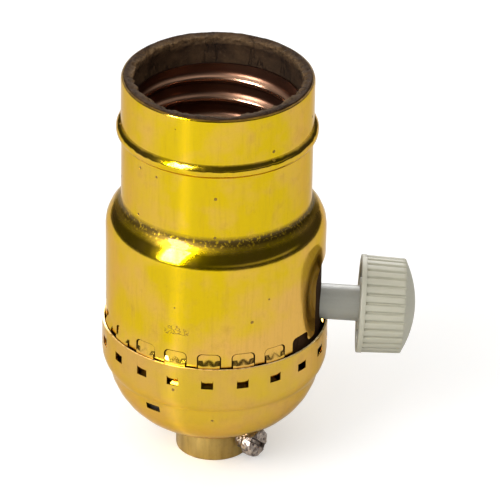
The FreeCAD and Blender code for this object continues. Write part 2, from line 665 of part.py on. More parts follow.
def switch_cover():
    boss_top = FLOOR_Z + SHEET + BOSS_H
    section = [
        (0, STEM_Z), (SWITCH_R, STEM_Z), (SWITCH_R, COVER_TOP_Z - COVER_CHAMFER),
        (SWITCH_R - COVER_CHAMFER, COVER_TOP_Z), (BOSS_R, COVER_TOP_Z), (BOSS_R, boss_top), (0, boss_top),
    ]
    rivet_hole = disc(CENTRE_RIVET_R + FREE, STEM_Z, MOUTH_Z - STEM_Z, CONTACT_X, 0)
    return turned(section).cut(terminal_pockets() + mechanism_room() + [rivet_hole])


def contact_insulator():
    plate = disc(INSULATOR_R, COVER_TOP_Z, INSULATOR_T)
    half = STRAP_W / 2 + SEAT
    low, height = COVER_TOP_Z - PAST, INSULATOR_T + 2 * PAST
    notch = block(-half, half, strap_tab_y() - FREE, SWITCH_R, low, low + height)
    holes = [disc(RIVET_R + FREE, low, height, x, y) for x, y in rivet_places()]
    return plate.cut([disc(BOSS_R + SEAT, low, height), notch] + holes)


# ---- contacts and terminals ----
def strap_tab_y():
    return POCKET_Y + PLATE_T - STRAP_TAB


def neutral_terminal():
    """Strap from under the screw shell's floor down the body's side to the neutral screw."""
    half = STRAP_W / 2
    tab = block(-half, half, strap_tab_y(), POCKET_Y + PLATE_T, COVER_TOP_Z, FLOOR_Z)
    leg = block(-half, half, POCKET_Y, POCKET_Y + PLATE_T, TERMINAL_LOW_Z, FLOOR_Z)
    pad = block(-TERMINAL_HALF_W, TERMINAL_HALF_W, POCKET_Y, POCKET_Y + PLATE_T, TERMINAL_LOW_Z, TERMINAL_TOP_Z)
    hole = rod(TERMINAL_SCREW_R + FREE, Vec(0, POCKET_Y - PAST, TERMINAL_Z), PLATE_T + 2 * PAST, Vec(0, 1, 0))
    return tab.fuse([leg, pad]).cut(hole).removeSplitter()


def hot_terminal():
    """Plate from the line contact under the rotor out to the line screw."""
    low = button_top_z() - BUTTON_H - PLATE_T
    half = CONTACT_W / 2
    face = -POCKET_Y - PLATE_T
    arm = block(CONTACT_X - half, CONTACT_X + half, face, BUTTON_R + BUTTON_LAND, low, low + PLATE_T)
    pad = block(-TERMINAL_HALF_W, CONTACT_X + half, face, -POCKET_Y, TERMINAL_LOW_Z, low + PLATE_T)
    hole = rod(TERMINAL_SCREW_R + FREE, Vec(0, face - PAST, TERMINAL_Z), PLATE_T + 2 * PAST, Vec(0, 1, 0))
    return arm.fuse(pad).cut(hole).removeSplitter()


def line_contact():
    return disc(BUTTON_R, button_top_z() - BUTTON_H, BUTTON_H, CONTACT_X, 0)


def lead_contact():
    half = CONTACT_W / 2
    plate = block(CONTACT_X - half, CONTACT_X + half, -half, half, lead_low_z(), lead_low_z() + LEAD_T)
    return plate.cut(disc(CENTRE_RIVET_R + FREE, lead_low_z() - PAST, LEAD_T + 2 * PAST, CONTACT_X, 0))


def contact_foot_z():
    return FLOOR_Z + SHEET + BOSS_H


def centre_contact():
    """Bent brass tongue: a foot on the boss, turned back on itself to spring up."""
    foot, t, start, top = contact_foot_z(), PLATE_T, SPRING_FOOT_X, contact_foot_z() + SPRING_H
    foot_end, tip = CONTACT_X + CENTRE_HEAD_R, SPRING_BEND_X + SPRING_TIP_L
    side = [
        (start, foot), (foot_end, foot), (foot_end, foot + t), (start + t, foot + t),
        (start + t, foot + 2 * t), (SPRING_BEND_X, top - t), (tip, top - 2 * t), (tip, top - t),
        (SPRING_BEND_X, top), (start, foot + 2 * t),
    ]
    points = [Vec(x, -SPRING_W / 2, z) for x, z in side]
    strip = Part.Face(Part.makePolygon(points + [points[0]])).extrude(Vec(0, SPRING_W, 0))
    return strip.cut(disc(CENTRE_RIVET_R + FREE, foot - PAST, t + 2 * PAST, CONTACT_X, 0))


def centre_rivet():
    top = contact_foot_z() + PLATE_T
    low = lead_low_z() + SEAT
    shank = disc(CENTRE_RIVET_R, low, top - low, CONTACT_X, 0)
    return shank.fuse(disc(CENTRE_HEAD_R, top, RIVET_HEAD_H, CONTACT_X, 0)).removeSplitter()


def body_rivets():
    low, top = base_low_z(), FLOOR_Z + SHEET
    rivets = []
    for x, y in rivet_places():
        shank = disc(RIVET_R, low, top - low, x, y)
        heads = [disc(RIVET_HEAD_R, z, RIVET_HEAD_H, x, y) for z in (low - RIVET_HEAD_H, top)]
        rivets.append(shank.fuse(heads).removeSplitter())
    return Part.makeCompound(rivets)


def terminal_screw(side):
    screw = slotted_screw(TERMINAL_SCREW_R, TERMINAL_SCREW_L - SEAT, TERMINAL_HEAD_R, TERMINAL_HEAD_H)
    screw.translate(Vec(POCKET_Y + PLATE_T, 0, TERMINAL_Z))
    return spun(screw, 90 * side)


# ---- stem, rotor and what turns with them ----
def switch_stem():
    shaft = rod(STEM_R, Vec(STEM_START_X, 0, 0), STEM_END_X - STEM_START_X, Vec(1, 0, 0))
    tang = block(TANG_X, STEM_START_X + PAST, -TANG / 2, TANG / 2, -TANG / 2, TANG / 2)
    flat = block(STEM_FLAT_X, STEM_END_X + PAST, -STEM_R, STEM_R, STEM_FLAT, STEM_R + PAST)
    groove_from = CLIP_X - FREE
    groove_len = CLIP_T + 2 * FREE
    groove = rod(STEM_R + PAST, Vec(groove_from, 0, 0), groove_len, Vec(1, 0, 0))
    core = rod(CLIP_SEAT_R, Vec(groove_from, 0, 0), groove_len, Vec(1, 0, 0))
    return on_stem(shaft.fuse(tang).cut([flat, groove.cut(core)]))


def stem_clip():
    """Open spring clip in the stem's groove, inside the chamber."""
    ring = rod(CLIP_R, Vec(CLIP_X, 0, 0), CLIP_T, Vec(1, 0, 0))
    low, high = CLIP_X - PAST, CLIP_X + CLIP_T + PAST
    seat = rod(CLIP_SEAT_R + FREE, Vec(low, 0, 0), high - low, Vec(1, 0, 0))
    mouth = block(low, high, -CLIP_MOUTH / 2, CLIP_MOUTH / 2, -CLIP_R - PAST, 0)
    return on_stem(ring.cut([seat, mouth]))


def rotor():
    """Drum and four-lobed cam in one moulding, with its rear journal and square socket."""
    drum = rod(DRUM_R, Vec(ROTOR_X, 0, 0), CAM_X - ROTOR_X, Vec(1, 0, 0))
    journal = rod(JOURNAL_R, Vec(ROTOR_X - JOURNAL_L, 0, 0), JOURNAL_L, Vec(1, 0, 0))
    square = block(CAM_X, CAM_END_X, -CAM_FLAT, CAM_FLAT, -CAM_FLAT, CAM_FLAT)
    cam = square.common(rod(CAM_LOBE_R, Vec(CAM_X, 0, 0), CAM_END_X - CAM_X, Vec(1, 0, 0)))
    half = TANG / 2 + FREE
    socket = block(TANG_X - SEAT, CAM_END_X + PAST, -half, half, -half, half)
    slit = block(BRIDGE_X - FREE, BRIDGE_X + BRIDGE_W + FREE, -BRIDGE_T / 2 - FREE, BRIDGE_T / 2 + FREE,
                 -DRUM_R - PAST, DRUM_R + PAST)
    return on_stem(drum.fuse([journal, cam]).cut([socket, slit]))


def rotor_contact():
    """Bridge through the drum that joins the line and lead contacts."""
    strip = block(BRIDGE_X, BRIDGE_X + BRIDGE_W, -BRIDGE_T / 2, BRIDGE_T / 2, -BRIDGE_REACH, BRIDGE_REACH)
    return on_stem(strip.common(rod(BRIDGE_REACH, Vec(BRIDGE_X, 0, 0), BRIDGE_W, Vec(1, 0, 0))))


def detent_spring():
    return leaf_box(0)


# ---- knob ----
def rib_groove():
    """Wedge that cuts one groove down the knob's tapered side, drawn at the top of the knob."""
    lip_x, end_x = KNOB_X + KNOB_LIP_W, KNOB_END_X + PAST
    taper = (KNOB_BACK_R - KNOB_FRONT_R) / (KNOB_END_X - KNOB_RIM_DROP - lip_x)

    def rim(x, side_r):
        # the wedge is drawn to twice its depth, half of it outside the side
        deep, out = side_r - RIB_GROOVE_DEPTH, side_r + RIB_GROOVE_DEPTH
        corners = [Vec(x, 0, deep), Vec(x, RIB_GROOVE_W, out), Vec(x, -RIB_GROOVE_W, out)]
        return Part.makePolygon(corners + [corners[0]])

    return Part.makeLoft([rim(lip_x, KNOB_BACK_R), rim(end_x, KNOB_BACK_R - taper * (end_x - lip_x))], True, True)


def knob():
    """Domed turn knob with a lipped, tapered, ribbed side and a hollow back round its boss."""
    lip_x, hollow_r, hollow_x = KNOB_X + KNOB_LIP_W, KNOB_BACK_R - KNOB_WALL, KNOB_X + KNOB_HOLLOW
    section = [
        (0, KNOB_X), (KNOB_BOSS_R, KNOB_X), (KNOB_BOSS_R, hollow_x), (hollow_r, hollow_x), (hollow_r, KNOB_X),
        (KNOB_LIP_R - KNOB_LIP_EDGE, KNOB_X), (KNOB_LIP_R, KNOB_X + KNOB_LIP_EDGE), (KNOB_LIP_R, lip_x),
        (KNOB_BACK_R, lip_x), (KNOB_FRONT_R, KNOB_END_X - KNOB_RIM_DROP),
    ]
    body = turned(section + crown(KNOB_RIM_R, KNOB_END_X, KNOB_END_X + KNOB_DOME_H))
    body.rotate(Vec(0, 0, 0), Vec(0, 1, 0), 90)
    groove = rib_groove()
    grooves = []
    for k in range(KNOB_RIBS):
        cut = groove.copy()
        cut.rotate(Vec(0, 0, 0), Vec(1, 0, 0), 360 * k / KNOB_RIBS)
        grooves.append(cut)
    bore_end = STEM_END_X + SEAT
    bore = rod(STEM_R + FREE, Vec(KNOB_X - PAST, 0, 0), bore_end - KNOB_X + PAST, Vec(1, 0, 0))
    key = block(STEM_FLAT_X + SEAT, bore_end + PAST, -STEM_R - PAST, STEM_R + PAST, STEM_FLAT + FREE, STEM_R + PAST)
    return on_stem(body.cut(grooves + [bore.cut(key)]))


NODES = {
    "outer_shell": outer_shell,
    "cap": cap,
    "cap_hub": cap_hub,
    "set_screw": set_screw,
    "insulating_sleeve": insulating_sleeve,
    "screw_shell": screw_shell,
    "switch_base": switch_base,
    "switch_cover": switch_cover,
    "contact_insulator": contact_insulator,
    "centre_contact": centre_contact,
    "centre_rivet": centre_rivet,
    "lead_contact": lead_contact,
    "line_contact": line_contact,
    "hot_terminal": hot_terminal,
    "neutral_terminal": neutral_terminal,
    "brass_terminal_screw": lambda: terminal_screw(-1),
    "silver_terminal_screw": lambda: terminal_screw(1),
    "body_rivets": body_rivets,
    "switch_stem": switch_stem,
    "stem_clip": stem_clip,
    "rotor": rotor,
    "rotor_contact": rotor_contact,
    "detent_spring": detent_spring,
    "knob": knob,
}


def main():
    os.makedirs("parts", exist_ok=True)
    for name, make in NODES.items():
        shape = make()
        if not shape.isValid() or not shape.Solids:
            print("NOT VALID", name)
        print(f"{name}: {len(shape.Solids)} solid(s), {shape.Volume:.1f} mm3")
        shape.exportStep(f"parts/{name}.step")


main()
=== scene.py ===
"""Looks of a brass lamp holder with a turn knob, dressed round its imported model.

Metres, +Z up the lamp's axis, +X along the switch stem.
"""

import json
import math

import bmesh
import bpy
from mathutils import Matrix, Vector


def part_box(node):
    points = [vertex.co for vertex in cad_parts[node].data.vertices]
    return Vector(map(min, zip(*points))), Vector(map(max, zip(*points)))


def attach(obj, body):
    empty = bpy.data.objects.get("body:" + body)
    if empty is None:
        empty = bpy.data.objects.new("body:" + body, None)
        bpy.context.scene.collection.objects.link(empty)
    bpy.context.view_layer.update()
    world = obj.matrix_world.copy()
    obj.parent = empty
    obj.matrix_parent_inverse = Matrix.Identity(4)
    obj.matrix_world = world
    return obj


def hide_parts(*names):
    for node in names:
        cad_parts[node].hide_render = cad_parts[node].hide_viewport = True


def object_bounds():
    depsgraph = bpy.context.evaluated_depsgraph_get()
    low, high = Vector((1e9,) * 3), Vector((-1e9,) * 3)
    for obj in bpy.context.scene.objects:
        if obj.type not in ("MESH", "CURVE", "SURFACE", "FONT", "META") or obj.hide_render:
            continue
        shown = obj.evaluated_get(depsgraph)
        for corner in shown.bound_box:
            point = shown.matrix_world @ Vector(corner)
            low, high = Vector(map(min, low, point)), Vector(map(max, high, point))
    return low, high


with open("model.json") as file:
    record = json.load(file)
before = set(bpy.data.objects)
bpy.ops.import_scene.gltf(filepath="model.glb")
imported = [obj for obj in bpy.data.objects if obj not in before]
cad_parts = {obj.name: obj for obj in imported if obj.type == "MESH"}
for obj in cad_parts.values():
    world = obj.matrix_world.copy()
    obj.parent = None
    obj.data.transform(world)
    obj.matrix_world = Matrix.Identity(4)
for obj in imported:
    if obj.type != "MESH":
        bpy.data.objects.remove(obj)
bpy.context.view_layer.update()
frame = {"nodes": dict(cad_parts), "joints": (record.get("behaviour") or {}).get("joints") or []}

MM = 0.001
TURN = 2 * math.pi
BLUNT = math.radians(150)

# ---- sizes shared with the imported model, in millimetres ----
SHEET = 0.3
SHELL_LIP_Z = 67.3        # sheet that faces up above this is the rolled lip
CAP_EDGE_Z = 23.5         # the same for the cap's sheared edge

LAMP_PITCH = 25.4 / 7
THREAD_MAJOR_R = 13.3
THREAD_MINOR_R = 12.45
THREAD_FLOOR_Z = 41.0     # under the floor of the lamp thread
THREAD_HOLE_R = 7.5

SLEEVE_R = 14.95
SLEEVE_BORE_R = 13.85
SLEEVE_EDGE_R = 13.5      # mouth, swollen inwards
SLEEVE_T = 1.1
SLEEVE_BODY_R = 17.15
SLEEVE_TOP_Z = 68.2
SLEEVE_EDGE_Z = 66.8      # the swelling starts to fade here
SLEEVE_BORE_Z = 65.4      # and has gone here
SLEEVE_NECK_Z = 45.6
SLEEVE_BENDS_Z = (41.6, 43.4)         # foot and knee of its shoulder, outside
SLEEVE_INNER_BENDS_Z = (41.2, 43.2)
SLEEVE_KNEE = 0.5
SLEEVE_FOOT_Z = 22.9

PIPE_PITCH = 25.4 / 27
PIPE_DEPTH = 0.45
HUB_R = 6.1
HUB_H = 5.8
HUB_BORE_R = 4.6
HUB_CHAMFER = 0.35
HUB_GROOVE = 0.65         # waist that the cap's sheet is staked in
HUB_FLANGE = 0.5
HUB_FLANGE_H = 0.9

LOCK_AT = math.radians(-37)
LOCK_Z = 3.2
LOCK_R = 1.85
LOCK_HEAD_R = 2.4
LOCK_HEAD_H = 2.3
LOCK_SHOWS = 1.2          # thread between hub and head
LOCK_SLOT_W = 0.62
LOCK_SLOT_H = 0.9
LOCK_TURNED = math.radians(50)

KNOB_X = 23.3
KNOB_END_X = 30.6
KNOB_LIP_R = 8.0
KNOB_LIP_H = 0.85
KNOB_SIDE_R = 7.9
KNOB_TAPER = 0.2
KNOB_CROWN_R = 7.35
KNOB_DOME_H = 1.85
KNOB_RIBS = 33
KNOB_GROOVE = 0.4
KNOB_HOLLOW_R = 6.6
KNOB_HOLLOW_H = 4.6
KNOB_BOSS_R = 4.3
KNOB_BORE_R = 2.95
KNOB_BORE_X = 29.1

# ---- shapes of the dressed surfaces ----
THREAD_START = 0.45       # turns
THREAD_CREST = 2.8        # power that sharpens the crests
RIB_LAND = 0.6            # share of a rib's width that stays flat
RIB_SLOPE = 0.22          # share that the flanks take
TORN_DEPTH = 1.0          # of the liner's mouth, millimetres
PIT_DEPTH = 0.5           # of the set screw, millimetres

# ---- marks, painted tints and painted shade on the brass, in metres ----
# painted reflection tint: peach towards the left and right sides, by distance off the axis along X
PAINTED_SIDE_TINT = (0.0085, 0.0165)
FOOT_AMBER_Z = 0.0234
# heights of the concave bend under the neck: grainy, and darkened there by painted shade
PRESSED_SHADED_BAND = (0.0442, 0.0471)
SCRIBBLE_FLAT = 2.6       # the scribble is this much wider than it is high
SCRIBBLE_AT = (-0.0062, -0.0166, 0.0795)    # with its height stretched by that much
SCRIBBLE_REACH = 0.0034


# ---- node trees ----
class Socket:
    """An output of a node. Arithmetic on it adds Math nodes to its tree."""

    def __init__(self, tree, node, output):
        self.tree, self.node, self.link = tree, node, node.outputs[output]

    def output(self, name):
        return Socket(self.tree, self.node, name)

    def maths(self, operation, *values, clamp=False):
        settings = {"operation": operation, "use_clamp": clamp}
        return self.tree.node("ShaderNodeMath", settings, dict(enumerate(values)))

    def __add__(self, other):
        return self.maths("ADD", self, other)

    def __sub__(self, other):
        return self.maths("SUBTRACT", self, other)

    def __rsub__(self, other):
        return self.maths("SUBTRACT", other, self)

    def __mul__(self, other):
        return self.maths("MULTIPLY", self, other)

    def __truediv__(self, other):
        return self.maths("DIVIDE", self, other)

    def __pow__(self, other):
        return self.maths("POWER", self, other)

    def __gt__(self, other):
        return self.maths("GREATER_THAN", self, other)

    def __lt__(self, other):
        return self.maths("LESS_THAN", self, other)

    __radd__ = __add__
    __rmul__ = __mul__

    def clipped(self):
        return self.maths("ADD", self, 0.0, clamp=True)

    def between(self, low, high):
        """0 below low, 1 above high, and an even rise from one to the other."""
        return ((self - low) / (high - low)).clipped()

    def size(self):
        return self.maths("ABSOLUTE", self)

    def fraction(self):
        return self.maths("FRACT", self)

    def cosine(self):
        return self.maths("COSINE", self)


class Tree:
    """A node tree that is written node by node, with the material that it belongs to."""

    def __init__(self, group, material=None):
        self.group, self.material = group, material

    def node(self, kind, settings=None, sockets=None, out=0):
        """Add a node: its settings first, then the values or links of its sockets."""
        node = self.group.nodes.new(kind)
        for key, value in (settings or {}).items():
            setattr(node, key, value)
        for key, value in (sockets or {}).items():
            if isinstance(value, Socket):
                self.group.links.new(value.link, node.inputs[key])
            else:
                node.inputs[key].default_value = value
        return Socket(self, node, out)

    def finish(self, shader, kind="ShaderNodeOutputMaterial"):
        output = self.group.nodes.new(kind)
        self.group.links.new(shader.link, output.inputs["Surface"])

    def vector(self, operation, *values, out="Vector"):
        sockets = dict(enumerate(values))
        return self.node("ShaderNodeVectorMath", {"operation": operation}, sockets, out)

    def noise(self, place, scale, detail=2.0, roughness=0.5):
        """Noise with scale cells to the metre."""
        sockets = {"Vector": place, "Scale": scale, "Detail": detail, "Roughness": roughness}
        return self.node("ShaderNodeTexNoise", None, sockets)

    def mix(self, factor, first, second):
        """Blend of two colours."""
        sockets = {0: factor, 6: first, 7: second}
        return self.node("ShaderNodeMix", {"data_type": "RGBA"}, sockets, out=2)

    def stretched(self, place, scale):
        sockets = {"Vector": place, "Scale": scale}
        return self.node("ShaderNodeMapping", {"vector_type": "POINT"}, sockets)

    def bump(self, height, distance):
        return self.node("ShaderNodeBump", None, {"Height": height, "Distance": distance})

    def near(self, place, centre, reach):
        """1 at a centre, falling to 0 at reach from it."""
        gap = self.vector("DISTANCE", place, centre, out="Value")
        return 1.0 - gap.between(0.3 * reach, reach)

    def off_axis(self, place):
        """Distance of a place from the lamp's axis."""
        flat = self.vector("MULTIPLY", place, (1.0, 1.0, 0.0))
        return self.vector("LENGTH", flat, out="Value")


def rgb(red, green, blue):
    """Colour of a node socket from a displayed 0 to 255 colour."""
    shares = [c / 255 for c in (red, green, blue)]
    linear = [c / 12.92 if c < 0.0404 else ((c + 0.055) / 1.055) ** 2.4 for c in shares]
    return (*linear, 1.0)


def new_surface(name):
    """Tree of a new, empty material, and the place on the object that it colours."""
    material = bpy.data.materials.new(name)
    material.use_nodes = True
    material.node_tree.nodes.clear()
    tree = Tree(material.node_tree, material)
    return tree, tree.node("ShaderNodeTexCoord", out="Object")


def surface(tree, colour, roughness, metallic, normal, fixed=None):
    """Fill a new surface with one Principled shader, and return its material."""
    sockets = {"Base Color": colour, "Roughness": roughness, "Metallic": metallic,
               "Normal": normal, **(fixed or {})}
    tree.finish(tree.node("ShaderNodeBsdfPrincipled", None, sockets))
    return tree.material


# ---- finishes ----
def specks(tree, place):
    """1 in a few round specks."""
    cells = tree.node("ShaderNodeTexVoronoi", {"feature": "F1"},
                      {"Vector": place, "Scale": 330.0}, out="Distance")
    colour = {"Color": cells.output("Color")}
    rare = tree.node("ShaderNodeSeparateColor", None, colour) > 0.88
    return (cells < 0.09) * rare


def scribble(tree, place):
    """1 along the fine scratches of a small scribble, low on the front."""
    wander = tree.noise(place, 700.0).output("Color")
    shaken = tree.vector("MULTIPLY_ADD", wander, (0.005, 0.005, 0.005), place)
    lines = tree.node("ShaderNodeTexVoronoi", {"feature": "DISTANCE_TO_EDGE"},
                      {"Vector": shaken, "Scale": 620.0})
    flat = tree.stretched(place, (1.0, 1.0, SCRIBBLE_FLAT))
    scored = tree.near(flat, SCRIBBLE_AT, SCRIBBLE_REACH)
    return (lines < 0.045) * (scored > tree.noise(place, 900.0))


def drawn_brass(name, gold, blush, dull, roughness, blushing, painted_low_tint=0.0, foot=0.0, shaded_band=None):
    """Bright drawn sheet: gold with peach patches at random, a painted reflection tint of peach
    towards its sides, upright grain and marks.

    The low tint deepens the peach low on the right as a painted reflection tint, foot is the height
    below which the brass is coloured a darker amber, and the band is the range of heights that the
    press has left grainy and that painted shade darkens.
    """
    tree, place = new_surface(name)
    parts = tree.node("ShaderNodeSeparateXYZ", None, {0: place})
    height = parts.output("Z")
    broad = tree.noise(place, 150.0)
    cloud = tree.noise(place, 620.0, 3.0)
    upright = tree.noise(tree.stretched(place, (2400.0, 2400.0, 170.0)), 1.0)
    grain = tree.noise(place, 5200.0)
    # painted reflection tint: the brass turns peach towards its left and right sides
    painted_side_tint = parts.size().between(*PAINTED_SIDE_TINT)
    # painted reflection tint: deeper peach low on the right of the body
    low = painted_low_tint * parts.between(-0.003, 0.006) * (1.0 - height.between(0.034, 0.0395))
    uneven = (broad - 0.5) * 2.4 + (cloud - 0.5) * 0.7
    colour = tree.mix((blushing + uneven + 0.55 * painted_side_tint + low).clipped(), gold, blush)

    tarnish = tree.noise(place, 300.0, 5.0, 0.65).between(0.56, 0.78)
    shade = (0.3 * tarnish + 0.13 * upright.between(0.5, 0.72)
             + 0.22 * grain.between(0.55, 0.75))
    colour = tree.mix(shade.clipped(), colour, dull)
    # darker amber below the foot height
    amber = 0.75 * (1.0 - height.between(foot, foot + 0.0014))
    colour = tree.mix(amber, colour, rgb(146, 92, 18))

    marks = (specks(tree, place) + 0.9 * scribble(tree, place)).clipped()
    colour = tree.mix(0.75 * marks, colour, rgb(84, 52, 24))
    rough = roughness + 0.06 * cloud + 0.08 * tarnish + 0.3 * marks
    relief = upright * 0.5 + cloud * 0.6 - marks * 1.5
    if shaded_band:
        low_end, high_end = shaded_band
        in_shaded_band = (height.between(low_end, low_end + 0.0012)
                  * (1.0 - height.between(high_end - 0.0009, high_end)))
        rough = rough + 0.3 * in_shaded_band
        # painted shade: the concave bend is darkened towards dull olive for its dark reflection,
        # dimming its highlight
        grime_and_painted_shade = in_shaded_band * tree.noise(place, 2200.0, 3.0).between(0.2, 0.46)
        colour = tree.mix(grime_and_painted_shade, colour, rgb(86, 68, 24))
        relief = relief + in_shaded_band * tree.noise(place, 3600.0, 3.0) * 1.8
    return surface(tree, colour, rough, 1.0 - 0.6 * marks, tree.bump(relief, 0.00001),
                   {"Coat Weight": 0.22, "Specular Tint": (0.84, 0.68, 0.4, 1.0)})


def turned_brass(name, colour, dull, roughness):
    """Plain turned brass with fine tool rings and soft upright bands."""
    tree, place = new_surface(name)
    rings = tree.noise(tree.stretched(place, (150.0, 150.0, 9000.0)), 1.0)
    upright = tree.stretched(place, (420.0, 420.0, 60.0))
    bands = tree.noise(upright, 1.0, 3.0, 0.6).between(0.36, 0.66)
    fleck = tree.noise(place, 2300.0, 3.0).between(0.5, 0.75)
    tint = tree.mix((bands * 0.85 + fleck * 0.2).clipped(), colour, dull)
    return surface(tree, tint, roughness + 0.12 * bands, 1.0, tree.bump(rings, 0.00002))


def plated_metal(name, colour, dark, roughness, pits=0.0):
    """Grey plated metal, with grime in its pits."""
    tree, place = new_surface(name)
    grime_and_painted_shade = tree.noise(place, 1300.0, 5.0, 0.7).between(0.5 - 0.1 * pits, 0.66)
    relief = tree.bump(tree.noise(place, 1600.0, 4.0), 0.00003 + 0.0002 * pits)
    return surface(tree, tree.mix(grime_and_painted_shade, colour, dark), roughness + 0.25 * grime_and_painted_shade,
                   1.0 - 0.3 * pits * grime_and_painted_shade, relief)


def cut_edge(name, colour, dull):
    """Sheared edge of brass sheet, paler and duller than its face."""
    tree, place = new_surface(name)
    nick = tree.noise(place, 1500.0, 3.0)
    tint = tree.mix(nick.between(0.45, 0.7), colour, dull)
    return surface(tree, tint, 0.42, 0.55, tree.bump(nick, 0.00003))


def coppered_sheet():
    """Dark copper of the rolled lamp thread, streaked round by the lamp, with painted shade in its
    roots and on its plain lip.
    """
    tree, place = new_surface("lamp thread copper")
    round_about = tree.stretched(place, (120.0, 120.0, 2500.0))
    streak = tree.noise(round_about, 1.0, 3.0).between(0.35, 0.7)
    cloud = tree.noise(place, 350.0, 3.0)
    tint = tree.mix(streak, rgb(196, 152, 124), rgb(172, 130, 104))
    # painted shade: darker and duller outwards from 12.7 mm off the axis, in the thread's roots and
    # on its plain lip
    painted_root_shade = tree.off_axis(place).between(0.0127, 0.0132)
    tint = tree.mix(0.92 * painted_root_shade, tint, rgb(74, 46, 34))
    return surface(tree, tint, 0.16 + 0.12 * cloud + 0.15 * painted_root_shade, 1.0,
                   tree.bump(streak, 0.000008))


def pressed_fibre():
    """Dark brown fibre board: flecked, with painted shade along a few upright creases and low down,
    and a paler torn edge.
    """
    tree, place = new_surface("pressed fibre")
    height = tree.node("ShaderNodeSeparateXYZ", None, {0: place}).output("Z")
    upright = tree.noise(tree.stretched(place, (420.0, 420.0, 90.0)), 1.0, 3.0, 0.55)
    shaded_crease = 1.0 - (upright - 0.56).size().between(0.004, 0.022)
    blotch = tree.noise(place, 260.0, 3.0, 0.6)
    fleck = tree.noise(place, 1900.0, 4.0, 0.7)
    tint = tree.mix(blotch.between(0.35, 0.68), rgb(48, 34, 23), rgb(74, 55, 37))
    tint = tree.mix(0.4 * fleck.between(0.52, 0.75), tint, rgb(100, 77, 52))
    # painted shade along the upright creases
    tint = tree.mix(0.55 * shaded_crease, tint, rgb(34, 23, 16))
    mouth = height.between(0.0664, 0.0676) * (1.0 - tree.off_axis(place).between(0.0135, 0.0144))
    torn = mouth * (0.25 + fleck.between(0.35, 0.6))
    tint = tree.mix((0.7 * torn).clipped(), tint, rgb(112, 88, 60))
    # painted shade: darker below 31 to 40 mm, inside the brass where little light reaches
    tint = tree.mix(0.8 * (1.0 - height.between(0.031, 0.04)), tint, rgb(52, 34, 18))
    relief = fleck * 0.6 + blotch - shaded_crease * 0.7
    return surface(tree, tint, 0.82, 0.0, tree.bump(relief, 0.0002), {"Specular IOR Level": 0.05})


def moulded(name, colour, shade, roughness, speckle=0.15, grain=0.00001, drawn=(1.0, 1.0, 1.0)):
    """Moulded plastic with slight flow marks and a fine bloom. drawn stretches the marks."""
    tree, place = new_surface(name)
    flow = tree.noise(tree.stretched(place, drawn), 180.0, 3.0)
    bloom = tree.noise(place, 2600.0, 3.0)
    tint = tree.mix((flow * 0.8 + bloom * speckle).between(0.35, 0.75), colour, shade)
    return surface(tree, tint, roughness + 0.1 * bloom, 0.0, tree.bump(bloom, grain),
                   {"Specular IOR Level": 0.35})


FINISHES = {
    "shell": drawn_brass("shell brass", rgb(218, 184, 0), rgb(224, 176, 84), rgb(168, 130, 40),
                         0.11, 0.12, 0.8, FOOT_AMBER_Z, PRESSED_SHADED_BAND),
    "cap": drawn_brass("cap brass", rgb(210, 175, 48), rgb(212, 168, 84), rgb(172, 132, 58),
                       0.16, 0.35),
    "edge": cut_edge("sheared brass", rgb(240, 218, 160), rgb(186, 150, 84)),
    # painted shade: the rolled lip is coloured dark brown for the shadow and dark reflection on its
    # up-facing curl
    "lip": turned_brass("rolled lip in painted shade", rgb(122, 92, 30), rgb(70, 50, 22), 0.35),
    "hub": turned_brass("hub brass", rgb(190, 163, 94), rgb(142, 116, 66), 0.3),
    "contact": turned_brass("contact brass", rgb(206, 176, 96), rgb(170, 136, 70), 0.28),
    "lock": plated_metal("set screw", rgb(200, 186, 174), rgb(48, 26, 30), 0.2, 1.0),
    "nickel": plated_metal("nickel", rgb(196, 194, 186), rgb(140, 136, 128), 0.22),
    "steel": plated_metal("plain steel", rgb(168, 168, 164), rgb(110, 106, 100), 0.34, 0.3),
    "thread": coppered_sheet(),
    "fibre": pressed_fibre(),
    "knob": moulded("knob moulding", rgb(174, 171, 152), rgb(165, 162, 145), 0.48),
    "stem": moulded("stem moulding", rgb(164, 163, 152), rgb(144, 143, 135), 0.38,
                    drawn=(0.3, 3.0, 3.0)),
    "black": moulded("black moulding", rgb(34, 30, 27), rgb(46, 40, 35), 0.42),
    "rotor": moulded("rotor moulding", rgb(214, 206, 184), rgb(198, 190, 168), 0.5),
    "card": moulded("fibre card", rgb(128, 104, 74), rgb(104, 82, 56), 0.8, 0.6, 0.00004),
}

NODE_FINISH = {
    "outer_shell": "shell",
    "cap": "cap",
    "cap_hub": "hub",
    "set_screw": "lock",
    "insulating_sleeve": "fibre",
    "screw_shell": "thread",
    "switch_base": "black",
    "switch_cover": "black",
    "contact_insulator": "card",
    "centre_contact": "contact",
    "centre_rivet": "contact",
    "lead_contact": "contact",
    "line_contact": "contact",
    "hot_terminal": "contact",
    "neutral_terminal": "contact",
    "brass_terminal_screw": "contact",
    "silver_terminal_screw": "nickel",
    "body_rivets": "steel",
    "switch_stem": "stem",
    "stem_clip": "steel",
    "rotor": "rotor",
    "rotor_contact": "contact",
    "detent_spring": "steel",
    "knob": "knob",
}


# ---- mesh helpers ----
def linked(name, data):
    piece = bpy.data.objects.new(name, data)
    bpy.context.scene.collection.objects.link(piece)
    return piece


def share(amount, whole):
    """amount / whole, kept from 0 to 1."""
    return min(1.0, max(0.0, amount / whole))


def eased(profile, radius, steps=3):
    """Closed outline of (radius, height) points with its corners rounded, but for blunt ones."""
    points, count = [], len(profile)
    for k in range(count):
        before, here, after = (Vector(profile[j % count]) for j in (k - 1, k, k + 1))
        to_before, to_after = before - here, after - here
        if to_before.angle(to_after) > BLUNT:
            points.append(profile[k])
            continue
        reach = min(radius, to_before.length / 2.2, to_after.length / 2.2)
        start = here + to_before.normalized() * reach
        end = here + to_after.normalized() * reach
        for j in range(steps + 1):
            t = j / steps
            point = (1 - t) ** 2 * start + 2 * t * (1 - t) * here + t ** 2 * end
            points.append((point.x, point.y))
    return points


